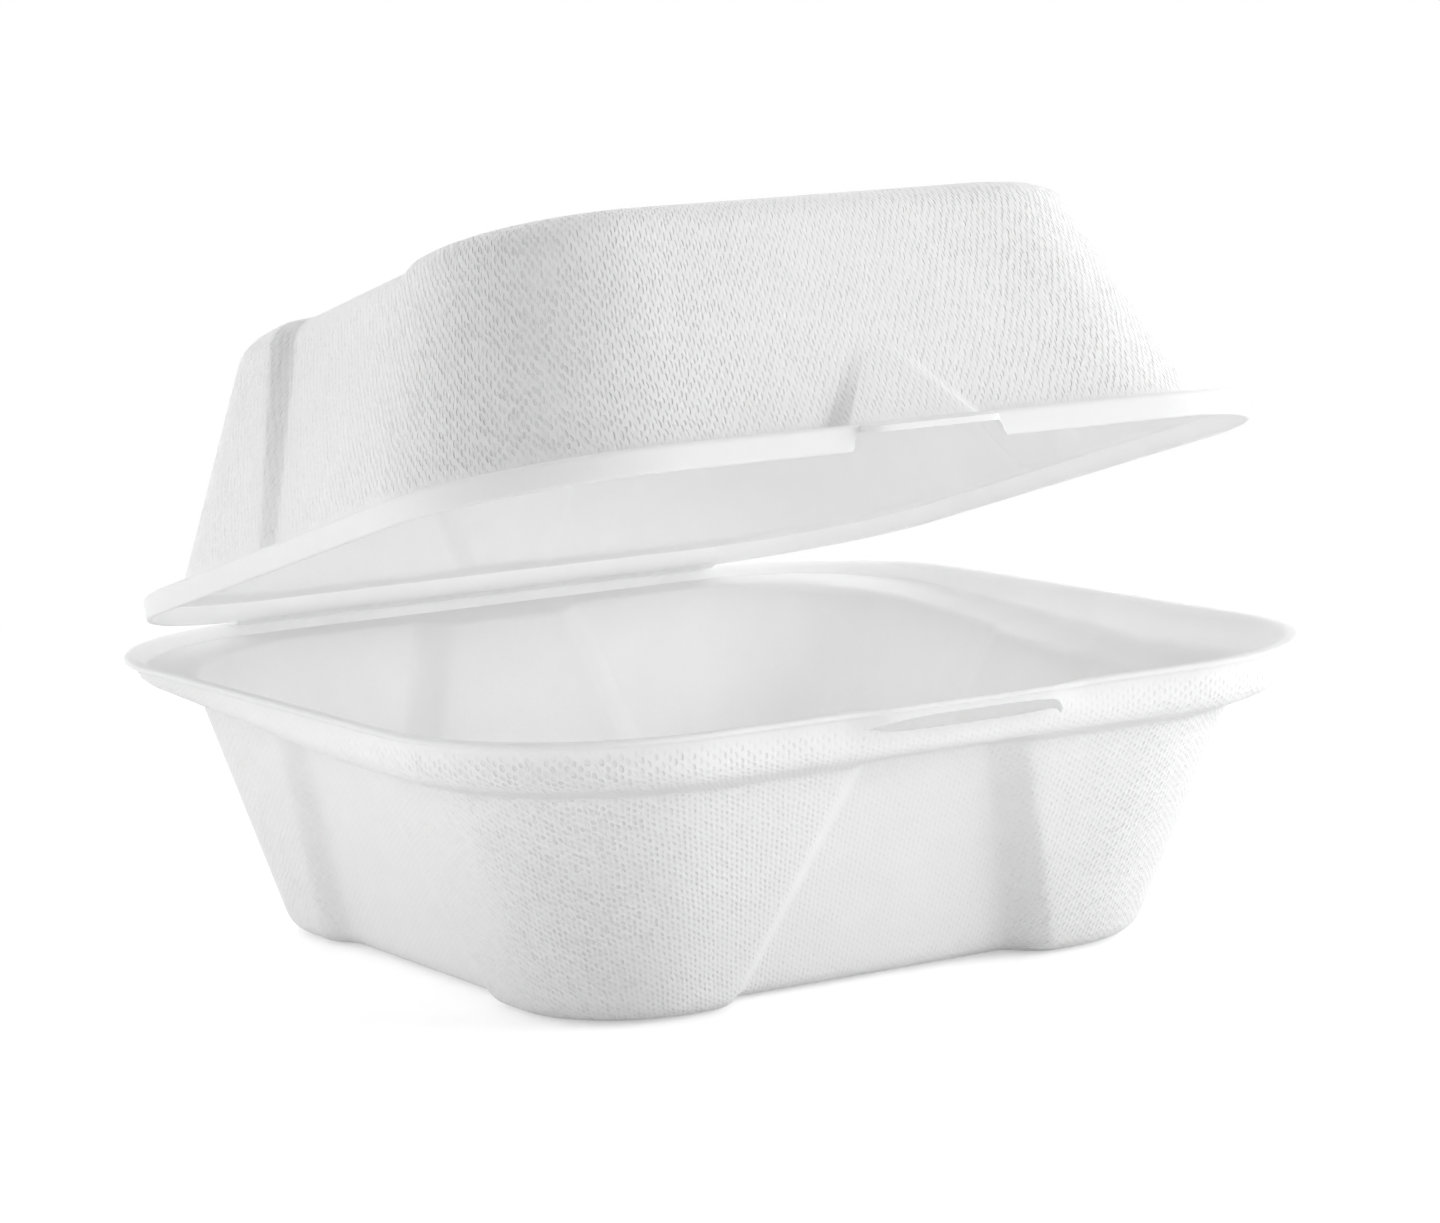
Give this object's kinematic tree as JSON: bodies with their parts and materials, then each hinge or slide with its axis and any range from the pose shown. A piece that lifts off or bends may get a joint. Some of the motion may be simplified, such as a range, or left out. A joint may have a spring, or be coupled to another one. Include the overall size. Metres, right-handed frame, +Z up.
{
  "type": "burger box",
  "caption": "Square takeaway burger box of moulded plant fibre: a deep tray and a domed lid hinged along the back, half open.",
  "frame": {"origin": "middle of the tray's flat underside, on the surface it stands on", "axes": "+Z up, -Y towards the front edge with the latch, +X to the right seen from the front"},
  "size_m": [0.1504, 0.1502, 0.1137],
  "materials": {
    "fibre": "matt, with a fine mesh texture outside"
  },
  "bodies": {
    "tray": {"tray": "fibre"},
    "lid": {"lid": "fibre"}
  },
  "joints": [
    {"name": "lid_hinge", "type": "hinge", "parent": "tray", "child": "lid", "pos_m": [0, 0.0726, 0.0452], "axis": [-1, 0, 0], "range_deg": [-16.1, 165.9]}
  ]
}
